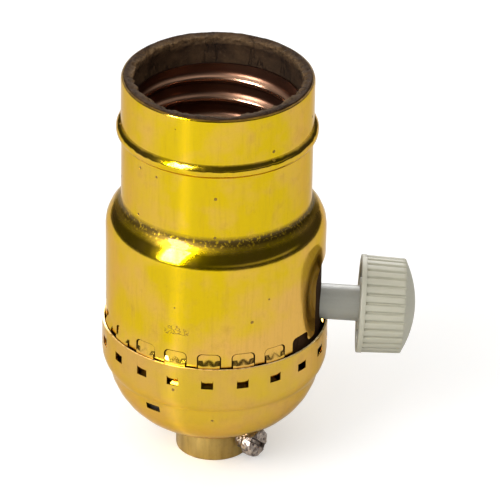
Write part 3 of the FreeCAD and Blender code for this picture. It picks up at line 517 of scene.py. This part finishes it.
def turned(name, profile, steps):
    """Closed outline of (radius, height, tag) points in millimetres, turned about the axis.

    The tags, 0 where none is given, stay as a vertex attribute.
    """
    shape = bmesh.new()
    rings, values = [], []
    for r, z, *tag in profile:
        ring = []
        for k in range(1 if r == 0 else steps):
            turn = TURN * k / steps
            ring.append(shape.verts.new((r * MM * math.cos(turn), r * MM * math.sin(turn), z * MM)))
            values.append(tag[0] if tag else 0.0)
        rings.append(ring * steps if r == 0 else ring)
    for first, second in zip(rings, rings[1:] + rings[:1]):
        for k in range(steps):
            after = (k + 1) % steps
            corners = [first[k], first[after], second[after], second[k]]
            corners = [v for j, v in enumerate(corners) if v not in corners[:j]]
            if len(corners) > 2:
                shape.faces.new(corners)
    bmesh.ops.recalc_face_normals(shape, faces=shape.faces)
    mesh = bpy.data.meshes.new(name)
    shape.to_mesh(mesh)
    shape.free()
    mesh.attributes.new("tag", "FLOAT", "POINT").data.foreach_set("value", values)
    return linked(name, mesh)


def shaded(piece, sharp):
    """Smooth shading, with crisp corners above sharp degrees."""
    piece.data.shade_smooth()
    piece.data.set_sharp_from_angle(angle=math.radians(sharp))


# ---- geometry node trees ----
def grown_tree(name, sizes, build):
    """Geometry tree with named sizes; build() makes its geometry from (tree, geometry, sizes)."""
    group = bpy.data.node_groups.new(name, "GeometryNodeTree")
    sockets = group.interface
    sockets.new_socket("Geometry", in_out="INPUT", socket_type="NodeSocketGeometry")
    sockets.new_socket("Geometry", in_out="OUTPUT", socket_type="NodeSocketGeometry")
    for label in sizes:
        sockets.new_socket(label, in_out="INPUT", socket_type="NodeSocketFloat")
    sockets.new_socket("Finish", in_out="INPUT", socket_type="NodeSocketMaterial")
    tree = Tree(group)
    given = tree.node("NodeGroupInput", out="Geometry")
    made = build(tree, given, {label: given.output(label) for label in sizes})
    made = tree.node("GeometryNodeRealizeInstances", None, {"Geometry": made})
    finish = {"Geometry": made, "Material": given.output("Finish")}
    made = tree.node("GeometryNodeSetMaterial", None, finish)
    end = group.nodes.new("NodeGroupOutput")
    group.links.new(made.link, end.inputs[0])
    return group


def grown(piece, group, finish, **sizes):
    """Run a geometry tree on a piece and keep its result as a plain mesh."""
    modifier = piece.modifiers.new(group.name, "NODES")
    modifier.node_group = group
    for item in group.interface.items_tree:
        if item.in_out == "INPUT" and item.name in sizes:
            modifier[item.identifier] = float(sizes[item.name])
        if item.in_out == "INPUT" and item.name == "Finish":
            modifier[item.identifier] = finish
    shown = piece.evaluated_get(bpy.context.evaluated_depsgraph_get())
    mesh = bpy.data.meshes.new_from_object(shown)
    piece.modifiers.remove(modifier)
    piece.data = mesh


def bearing(tree):
    """Bearing of a point round the axis in turns, its height, and the unit vector outwards."""
    position = tree.node("GeometryNodeInputPosition")
    parts = tree.node("ShaderNodeSeparateXYZ", None, {0: position})
    turns = parts.maths("ARCTAN2", parts.output("Y"), parts) / TURN
    flat = tree.node("ShaderNodeCombineXYZ", None, {"X": parts, "Y": parts.output("Y")})
    return turns, parts.output("Z"), tree.vector("NORMALIZE", flat)


def tagged(tree):
    return tree.node("GeometryNodeInputNamedAttribute", {"data_type": "FLOAT"}, {"Name": "tag"})


def moved(tree, geometry, direction, amount):
    offset = tree.node("ShaderNodeVectorMath", {"operation": "SCALE"},
                       {0: direction, "Scale": amount})
    return tree.node("GeometryNodeSetPosition", None, {"Geometry": geometry, "Offset": offset})


def wind_thread(tree, geometry, sizes):
    """Push tagged walls outwards in a rounded right-hand helix."""
    turns, height, away = bearing(tree)
    wave = ((height / sizes["Pitch"] - turns - sizes["Start"]) * TURN).cosine() * 0.5 + 0.5
    return moved(tree, geometry, away, (wave ** sizes["Crest"]) * sizes["Depth"] * tagged(tree))


def press_ribs(tree, geometry, sizes):
    """Sink narrow upright grooves between broad ribs in a tagged side."""
    turns, _, away = bearing(tree)
    edge = ((turns * sizes["Ribs"]).fraction() * 2.0 - 1.0).size()
    sunk = ((edge - sizes["Land"]) / RIB_SLOPE).clipped()
    return moved(tree, geometry, away, sunk * sizes["Depth"] * tagged(tree) * -1.0)


def tear_edge(tree, geometry, sizes):
    """Make a tagged edge ragged, as torn board."""
    position = tree.node("GeometryNodeInputPosition")
    coarse = tree.noise(position, sizes["Coarse"], 3.0) - 0.5
    fine = tree.noise(position, sizes["Fine"], 4.0) - 0.5
    away = bearing(tree)[2]
    up = tree.node("ShaderNodeCombineXYZ", None, {"Z": 1.0})
    reach = tagged(tree) * sizes["Depth"]
    geometry = moved(tree, geometry, up, (coarse * 1.6 + fine - 0.35) * reach)
    return moved(tree, geometry, away, (fine * 1.2 + coarse * 0.8) * reach * -1.0)


def roughen(tree, geometry, sizes):
    """Cut a slot across a tagged head, then pit the whole surface."""
    position = tree.node("GeometryNodeInputPosition")
    across = tree.node("ShaderNodeSeparateXYZ", None, {0: position}).output("Y").size()
    slot = (1.0 - (across / sizes["Slot"] * 2.0).between(0.9, 1.2)) * tagged(tree)
    down = tree.node("ShaderNodeCombineXYZ", None, {"Z": -1.0})
    geometry = moved(tree, geometry, down, slot * sizes["Deep"])
    pits = tree.noise(tree.node("GeometryNodeInputPosition"), 1100.0, 4.0, 0.65) - 0.5
    return moved(tree, geometry, tree.node("GeometryNodeInputNormal"), pits * sizes["Pits"])


THREADING = grown_tree("wind thread", ("Pitch", "Depth", "Start", "Crest"), wind_thread)
RIBBING = grown_tree("press ribs", ("Ribs", "Land", "Depth"), press_ribs)
ROUGHENING = grown_tree("roughen", ("Slot", "Deep", "Pits"), roughen)
TEARING = grown_tree("tear edge", ("Coarse", "Fine", "Depth"), tear_edge)


# ---- pieces ----
def sheet_slope(face, skew=0.15):
    """Outward and upward parts of a face's normal, or None where it faces round the axis."""
    centre, normal = face.center, face.normal
    out = Vector((centre.x, centre.y, 0)).normalized()
    if abs(normal.x * -out.y + normal.y * out.x) > skew:
        return None
    return Vector((normal.x * out.x + normal.y * out.y, normal.z)).normalized()


def rolled_normals(mesh, sharp=math.radians(35)):
    """Shade drawn sheet as truly round.

    A corner's normal takes the bearing of its own place, and the mean slope of the faces that
    meet there, by area.
    """
    slopes = [sheet_slope(face) for face in mesh.polygons]
    around = {}
    for face, slope in zip(mesh.polygons, slopes):
        if slope is not None:
            for v in face.vertices:
                around.setdefault(v, []).append((slope, face.area))
    normals = [None] * len(mesh.loops)
    for face, slope in zip(mesh.polygons, slopes):
        for loop in face.loop_indices:
            v = mesh.loops[loop].vertex_index
            if slope is None:
                normals[loop] = face.normal.copy()
                continue
            mean = Vector((0.0, 0.0))
            for other, area in around[v]:
                if other.angle(slope) < sharp:
                    mean += other * area
            mean.normalize()
            place = mesh.vertices[v].co
            out = Vector((place.x, place.y, 0)).normalized()
            normals[loop] = Vector((out.x * mean.x, out.y * mean.x, mean.y))
    mesh.polygons.foreach_set("use_smooth", [True] * len(mesh.polygons))
    mesh.normals_split_custom_set(normals)


def sheet_piece(node, name, finish, edge_from, edge_finish):
    """Welded copy of a drawn sheet, shaded round.

    Its faces that look up, above edge_from, get the finish of the edge.
    """
    shape = bmesh.new()
    shape.from_mesh(frame["nodes"][node].data)
    bmesh.ops.remove_doubles(shape, verts=shape.verts, dist=1e-7)
    mesh = bpy.data.meshes.new(name)
    shape.to_mesh(mesh)
    shape.free()
    rolled_normals(mesh)
    mesh.materials.clear()
    mesh.materials.append(finish)
    mesh.materials.append(edge_finish)
    for face in mesh.polygons:
        face.material_index = int(face.normal.z > 0.6 and face.center.z > edge_from)
    piece = linked(name, mesh)
    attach(piece, "housing")
    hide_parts(node)


def lamp_thread(rows=130):
    """Rolled helix of the lamp thread with its plain lip and its floor."""
    top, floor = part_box("screw_shell")[1].z / MM, THREAD_FLOOR_Z + SHEET
    inner = []
    for k in range(rows + 1):
        z = top - (top - floor) * k / rows
        depth = share(top - z - 0.6, 1.6) * share(z - floor - 1.0, 2.5)
        inner.append((THREAD_MAJOR_R, z, -depth))
    outer = [(r + SHEET, z, tag) for r, z, tag in inner[:-1]]
    outer += [(THREAD_MAJOR_R + SHEET, THREAD_FLOOR_Z, inner[-1][2])]
    inner += [(THREAD_HOLE_R, floor, 0.0), (THREAD_HOLE_R, THREAD_FLOOR_Z, 0.0)]
    piece = turned("lamp_thread", inner + outer[::-1], 160)
    grown(piece, THREADING, FINISHES["thread"], Pitch=LAMP_PITCH * MM,
          Depth=(THREAD_MAJOR_R - THREAD_MINOR_R) * MM, Start=THREAD_START, Crest=THREAD_CREST)
    shaded(piece, 60)
    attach(piece, "housing")
    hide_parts("screw_shell")


def fibre_liner(curl=6, rows=20):
    """Fibre sleeve that stands proud of the brass, its mouth swollen inwards and torn.

    The tags say how far each point of the mouth may tear.
    """
    inner_r = SLEEVE_BODY_R - SLEEVE_T
    foot_z, knee_z = SLEEVE_BENDS_Z
    profile = [(SLEEVE_BODY_R, SLEEVE_FOOT_Z), (SLEEVE_BODY_R, foot_z),
               (SLEEVE_BODY_R - SLEEVE_KNEE, knee_z), (SLEEVE_R, SLEEVE_NECK_Z),
               (SLEEVE_R, SLEEVE_EDGE_Z), (SLEEVE_R, SLEEVE_TOP_Z - 0.25, 0.15)]
    width = SLEEVE_R - SLEEVE_EDGE_R
    for k in range(curl + 1):
        t = k / curl
        profile.append((SLEEVE_R - 0.12 - (width - 0.2) * t, SLEEVE_TOP_Z - 0.1 - 0.1 * t * t,
                        0.3 + 0.7 * t))
    mouth_z = SLEEVE_TOP_Z - 0.3
    for k in range(rows + 1):
        z = mouth_z - (mouth_z - SLEEVE_BORE_Z) * k / rows
        opened = share(SLEEVE_EDGE_Z - z, SLEEVE_EDGE_Z - SLEEVE_BORE_Z)
        profile.append((SLEEVE_EDGE_R + (SLEEVE_BORE_R - SLEEVE_EDGE_R) * opened, z,
                        max(0.2, 1.0 - 0.9 * k / rows)))
    foot_z, knee_z = SLEEVE_INNER_BENDS_Z
    profile += [(SLEEVE_BORE_R, SLEEVE_BORE_Z - 1.5, 0.1), (SLEEVE_BORE_R, SLEEVE_NECK_Z),
                (inner_r - SLEEVE_KNEE, knee_z), (inner_r, foot_z), (inner_r, SLEEVE_FOOT_Z)]
    piece = turned("fibre_liner", profile, 320)
    grown(piece, TEARING, FINISHES["fibre"], Coarse=360.0, Fine=1300.0, Depth=TORN_DEPTH * MM)
    shaded(piece, 50)
    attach(piece, "housing")
    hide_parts("insulating_sleeve")


def threaded_hub(rows=84):
    """Hub with its bevelled rim, the staked flange and the pipe thread inside its bore."""
    top = HUB_H + SHEET + HUB_FLANGE_H
    mouth_r = HUB_BORE_R + HUB_CHAMFER
    outside = eased([(mouth_r, 0), (HUB_R, 0), (HUB_R, HUB_H), (HUB_R - HUB_GROOVE, HUB_H),
                     (HUB_R - HUB_GROOVE, HUB_H + SHEET), (HUB_R + HUB_FLANGE, HUB_H + SHEET),
                     (HUB_R + HUB_FLANGE, top), (mouth_r, top)], 0.28)
    bore = [(HUB_BORE_R, top - HUB_CHAMFER - (top - 2 * HUB_CHAMFER) * k / rows,
             min(1.0, k / 6, (rows - k) / 6)) for k in range(rows + 1)]
    piece = turned("threaded_hub", outside + bore, 96)
    grown(piece, THREADING, FINISHES["hub"], Pitch=PIPE_PITCH * MM, Depth=PIPE_DEPTH * MM,
          Start=0.0, Crest=1.0)
    shaded(piece, 35)
    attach(piece, "housing")
    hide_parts("cap_hub")


def ribbed_knob(rows=10, crown=12):
    """Knob with a thin lip, broad ribs down its tapered side, a soft shoulder and a low dome."""
    lip, floor = KNOB_X + KNOB_LIP_H, KNOB_X + KNOB_HOLLOW_H
    profile = eased([(KNOB_BORE_R, KNOB_X), (KNOB_BOSS_R, KNOB_X), (KNOB_BOSS_R, floor),
                     (KNOB_HOLLOW_R, floor), (KNOB_HOLLOW_R, KNOB_X), (KNOB_LIP_R, KNOB_X),
                     (KNOB_LIP_R, lip), (KNOB_SIDE_R, lip)], 0.15)
    side, side_end = lip + 0.12, KNOB_END_X - 0.25
    for k in range(rows + 1):
        t = k / rows
        profile.append((KNOB_SIDE_R - KNOB_TAPER * t, side + (side_end - side) * t, 1.0))
    profile += [(7.6, KNOB_END_X - 0.08, 0.7), (7.4, KNOB_END_X, 0.3)]
    sphere = (KNOB_CROWN_R ** 2 + KNOB_DOME_H ** 2) / (2 * KNOB_DOME_H)
    centre = KNOB_END_X + KNOB_DOME_H - sphere
    for k in range(1, crown + 1):
        r = KNOB_CROWN_R * (1 - k / crown)
        profile.append((r, centre + math.sqrt(sphere ** 2 - r ** 2)))
    profile += [(0.0, KNOB_BORE_X), (KNOB_BORE_R, KNOB_BORE_X)]
    piece = turned("ribbed_knob", profile, KNOB_RIBS * 16)
    grown(piece, RIBBING, FINISHES["knob"], Ribs=KNOB_RIBS, Land=RIB_LAND, Depth=KNOB_GROOVE * MM)
    shaded(piece, 38)
    piece.data.transform(stem_place())
    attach(piece, "turn_key")
    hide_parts("knob")


def stem_place():
    """Matrix that takes a piece turned about +Z on to the stem's own axis."""
    joint = frame["joints"][0]
    axis = Vector(joint["axis"]).normalized()
    side = Vector((0, 1, 0))
    turn = Matrix((side.cross(axis), side, axis)).transposed()
    return Matrix.Translation(Vector(joint["pos_m"])) @ turn.to_4x4()


def lock_screw(rows=8, rings=14):
    """Set screw with a slotted, pitted head, driven into the hub's side."""
    shank_r, under = LOCK_R - 0.1, HUB_R + LOCK_SHOWS
    top = under + LOCK_HEAD_H
    profile = [(0.0, HUB_BORE_R + 0.1), (1.2, HUB_BORE_R + 0.1), (shank_r, HUB_BORE_R + 0.5),
               (shank_r, under - 0.1), (LOCK_R + 0.2, under), (LOCK_HEAD_R - 0.25, under),
               (LOCK_HEAD_R, under + 0.3)]
    profile += [(LOCK_HEAD_R, under + 0.3 + (LOCK_HEAD_H - 0.8) * k / rows)
                for k in range(1, rows + 1)]
    profile += [(LOCK_HEAD_R - 0.12, top - 0.25, 1.0)]
    profile += [((LOCK_HEAD_R - 0.4) * (1 - k / rings), top - 0.1 + 0.1 * (k / rings), 1.0)
                for k in range(rings)]
    profile += [(0.0, top, 1.0)]
    piece = turned("lock_screw", profile, 84)
    grown(piece, ROUGHENING, FINISHES["lock"], Slot=LOCK_SLOT_W * MM, Deep=LOCK_SLOT_H * MM,
          Pits=PIT_DEPTH * MM)
    shaded(piece, 60)
    up, out = Vector((0, 0, 1)), Vector((math.cos(LOCK_AT), math.sin(LOCK_AT), 0))
    turn = Matrix((up, out.cross(up), out)).transposed() @ Matrix.Rotation(LOCK_TURNED, 3, "Z")
    piece.data.transform(Matrix.Translation((0, 0, LOCK_Z * MM)) @ turn.to_4x4())
    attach(piece, "housing")
    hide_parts("set_screw")


lamp_thread()
threaded_hub()
ribbed_knob()
fibre_liner()
lock_screw()
sheet_piece("outer_shell", "brass_shell", FINISHES["shell"], SHELL_LIP_Z * MM, FINISHES["lip"])
sheet_piece("cap", "brass_cap", FINISHES["cap"], CAP_EDGE_Z * MM, FINISHES["edge"])

for node, finish in NODE_FINISH.items():
    for slot in frame["nodes"][node].material_slots:
        slot.link = "OBJECT"
        slot.material = FINISHES[finish]


# ---- stage, light and camera ----
TABLE_EDGE = (0.36, 0.42)                 # metres from the axis where the lit table top fades
TABLE_GLOW, POOL_GLOW, PLAIN_GLOW = 0.05, 0.34, 0.32
POOL_BEARING, POOL_WIDTH = math.radians(-35.5), math.radians(10)
ROOM_GLOW, OVERHEAD_GLOW, STRIP_GLOW = 0.045, 0.95, 0.35
SOFT_LIGHT = 0.75                         # what the world gives to matt surfaces
LIGHTS_AIM = (0, 0, 0.035)

CAMERA_RISE, CAMERA_ROLL = math.radians(29.3), math.radians(1.0)
CAMERA_DISTANCE = 0.9
CAMERA_AIM = (5.52, 0.0, 36.2)            # millimetres
CAMERA_SENSOR, CAMERA_LENS = 36.0, 401.8


def studio_world():
    """White to the camera, and soft to matt surfaces.

    Polished ones see a dim room, lit from above and behind, with a pale strip low in front.
    """
    world = bpy.data.worlds.new("studio")
    bpy.context.scene.world = world
    world.use_nodes = True
    world.node_tree.nodes.clear()
    tree = Tree(world.node_tree)
    direction = tree.node("ShaderNodeTexCoord", out="Generated")
    parts = tree.node("ShaderNodeSeparateXYZ", None, {0: direction})
    rise = parts.output("Z")
    overhead = tree.vector("DOT_PRODUCT", direction, (0.0, 0.5, 0.866), out="Value")
    strip = (rise.between(0.10, 0.16) * (1.0 - rise.between(0.2, 0.28))
             * parts.between(-0.3, 0.7) * (1.0 - parts.output("Y").between(-0.2, 0.1)))
    room = ROOM_GLOW + OVERHEAD_GLOW * overhead.between(0.5, 0.8) + STRIP_GLOW * strip
    seen = tree.node("ShaderNodeLightPath", out="Is Camera Ray")
    glossy, passing = seen.output("Is Glossy Ray"), seen.output("Is Transmission Ray")
    matt = 1.0 - (seen + glossy + passing).clipped()
    strength = seen + glossy * room + passing + SOFT_LIGHT * matt
    tree.finish(tree.node("ShaderNodeBackground", None, {"Strength": strength,
                                                         "Color": (1, 1, 1, 1)}),
                "ShaderNodeOutputWorld")


def pale_floor():
    """Wide white disc under the hub.

    It keeps the shadow, and polished metal sees it as a lit table top in a dim room, with a
    brighter pool towards the key light.
    """
    mesh = bpy.data.meshes.new("floor")
    shape = bmesh.new()
    bmesh.ops.create_circle(shape, cap_ends=True, radius=3.0, segments=96)
    shape.to_mesh(mesh)
    shape.free()
    floor = linked("floor", mesh)
    floor.location.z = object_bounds()[0][2]
    tree, place = new_surface("white floor")
    seen = tree.node("ShaderNodeLightPath", out="Is Camera Ray")
    glossy = seen.output("Is Glossy Ray")
    plain = (seen + seen.output("Is Transmission Ray")).clipped()
    parts = tree.node("ShaderNodeSeparateXYZ", None, {0: place})
    bearing_here = parts.maths("ARCTAN2", parts, parts.output("Y") * -1.0)
    pool = 1.0 - (bearing_here - POOL_BEARING).size().between(0.0, POOL_WIDTH)
    beyond = tree.vector("LENGTH", place, out="Value").between(*TABLE_EDGE)
    lit = glossy * (TABLE_GLOW + POOL_GLOW * pool) * (1.0 - beyond)
    glow = PLAIN_GLOW * plain + lit
    tree.finish(tree.node("ShaderNodeBsdfPrincipled", None, {
        "Base Color": tree.mix(glossy * beyond, (0.8, 0.8, 0.8, 1), (0.08, 0.08, 0.08, 1)),
        "Roughness": 1.0,
        "Specular IOR Level": 0.0,
        "Emission Color": tree.mix(glow, (0, 0, 0, 1), (1, 1, 1, 1)),
        "Emission Strength": 1.0,
    }))
    mesh.materials.append(tree.material)


def area_light(name, bearing_deg, rise_deg, distance, size, power, glossy=False):
    """Soft box that faces the object: it either shines in polished metal or lights the rest.

    Its bearing is turned from the camera's side towards the stem.
    """
    light = bpy.data.lights.new(name, "AREA")
    light.shape, light.size, light.size_y, light.energy = "RECTANGLE", *size, power
    lamp = linked(name, light)
    turn, rise = math.radians(bearing_deg), math.radians(rise_deg)
    away = Vector((math.sin(turn) * math.cos(rise), -math.cos(turn) * math.cos(rise),
                   math.sin(rise)))
    lamp.location = Vector(LIGHTS_AIM) + away * distance
    lamp.rotation_euler = away.to_track_quat("Z", "Y").to_euler()
    lamp.visible_glossy, lamp.visible_diffuse = glossy, not glossy


def camera():
    """A long lens a little above the object, square to the stem."""
    back = Vector((0, -math.cos(CAMERA_RISE), math.sin(CAMERA_RISE)))
    right, up = Vector((1, 0, 0)), Vector((0, math.sin(CAMERA_RISE), math.cos(CAMERA_RISE)))
    rolled_right = right * math.cos(CAMERA_ROLL) + up * math.sin(CAMERA_ROLL)
    rolled_up = up * math.cos(CAMERA_ROLL) - right * math.sin(CAMERA_ROLL)
    data = bpy.data.cameras.new("camera")
    data.sensor_width, data.lens = CAMERA_SENSOR, CAMERA_LENS
    eye = linked("camera", data)
    turn = Matrix((rolled_right, rolled_up, back)).transposed()
    place = Vector(CAMERA_AIM) * MM + back * CAMERA_DISTANCE
    eye.matrix_world = Matrix.Translation(place) @ turn.to_4x4()
    bpy.context.scene.camera = eye


studio_world()
pale_floor()
area_light("key_shine", -45, 27, 0.7, (0.25, 0.6), 17.0, glossy=True)
area_light("back_shine", 180, 32, 0.7, (0.25, 0.5), 6.0, glossy=True)
area_light("key", -46, 38, 0.7, (0.4, 0.4), 2.4)
area_light("fill", 5, 42, 0.9, (0.6, 0.6), 1.6)
camera()
bpy.context.scene.view_settings.view_transform = "Standard"
